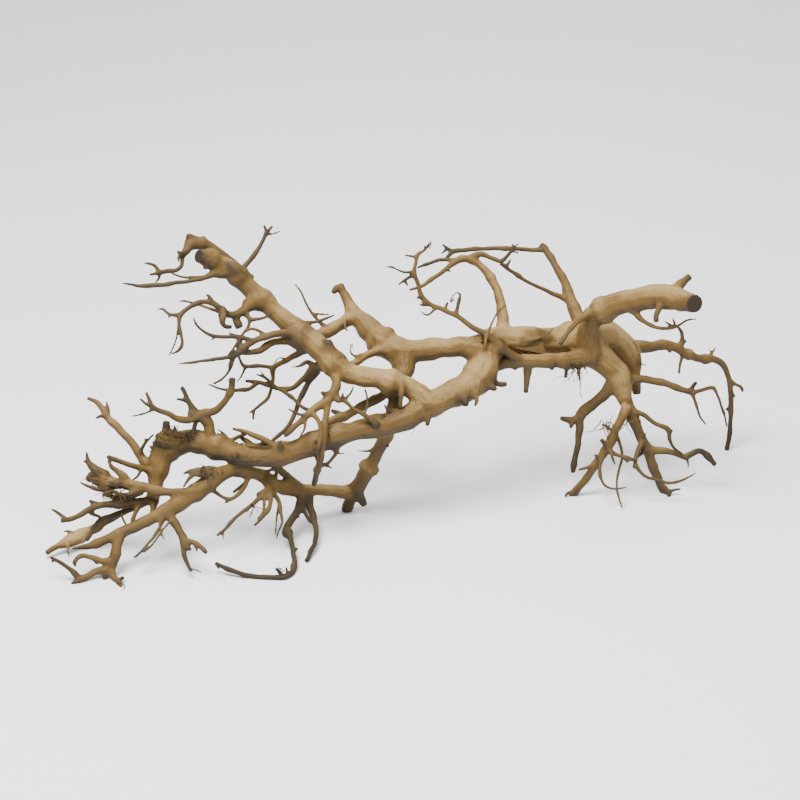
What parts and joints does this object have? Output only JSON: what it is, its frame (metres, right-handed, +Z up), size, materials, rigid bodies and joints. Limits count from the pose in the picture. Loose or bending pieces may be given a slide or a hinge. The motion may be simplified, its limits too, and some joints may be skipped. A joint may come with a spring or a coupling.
{
  "type": "driftwood branch",
  "caption": "Sandblasted driftwood root with a sawn arm, grafted loops and long forked rootlets, standing on the tips of its own roots.",
  "frame": {"origin": "on the floor under the middle of the branch's bounding box", "axes": "+X along the branch from the rootlet tangle to the sawn arm, +Z up as it stands, -Y towards the viewer of the picture"},
  "size_m": [0.7014, 0.329, 0.2821],
  "materials": {
    "pale_wood": "sandblasted bare root wood, pale tan, smooth and matt with fine grain",
    "brown_wood": "sandblasted bare root wood, browner, with dark broken tips"
  },
  "bodies": {
    "root": {"stem": "pale_wood", "sawn_arm": "pale_wood", "knee": "pale_wood", "bridge": "pale_wood", "arch_limb": "pale_wood", "right_reach": "pale_wood", "front_leg": "pale_wood", "front_bar": "brown_wood", "lower_limb": "brown_wood", "left_column": "brown_wood", "middle_limb": "brown_wood", "upper_limb": "brown_wood", "upper_twin": "brown_wood", "claw_branch": "brown_wood", "prop_leg": "brown_wood", "front_root": "brown_wood", "hook_root": "brown_wood", "spray_root": "brown_wood", "left_root": "brown_wood", "left_leg": "brown_wood", "left_fork_root": "brown_wood", "left_bar": "brown_wood", "left_horn": "brown_wood", "left_rootlets": "brown_wood", "candelabra": "brown_wood", "lying_twigs": "brown_wood", "upper_tangle": "brown_wood", "middle_tangle": "brown_wood", "bundle_root": "brown_wood", "lower_tangle": "brown_wood", "crook_limb": "brown_wood", "long_twig": "brown_wood", "right_fork_limb": "brown_wood", "splay_leg": "brown_wood", "back_leg": "brown_wood"}
  },
  "joints": []
}
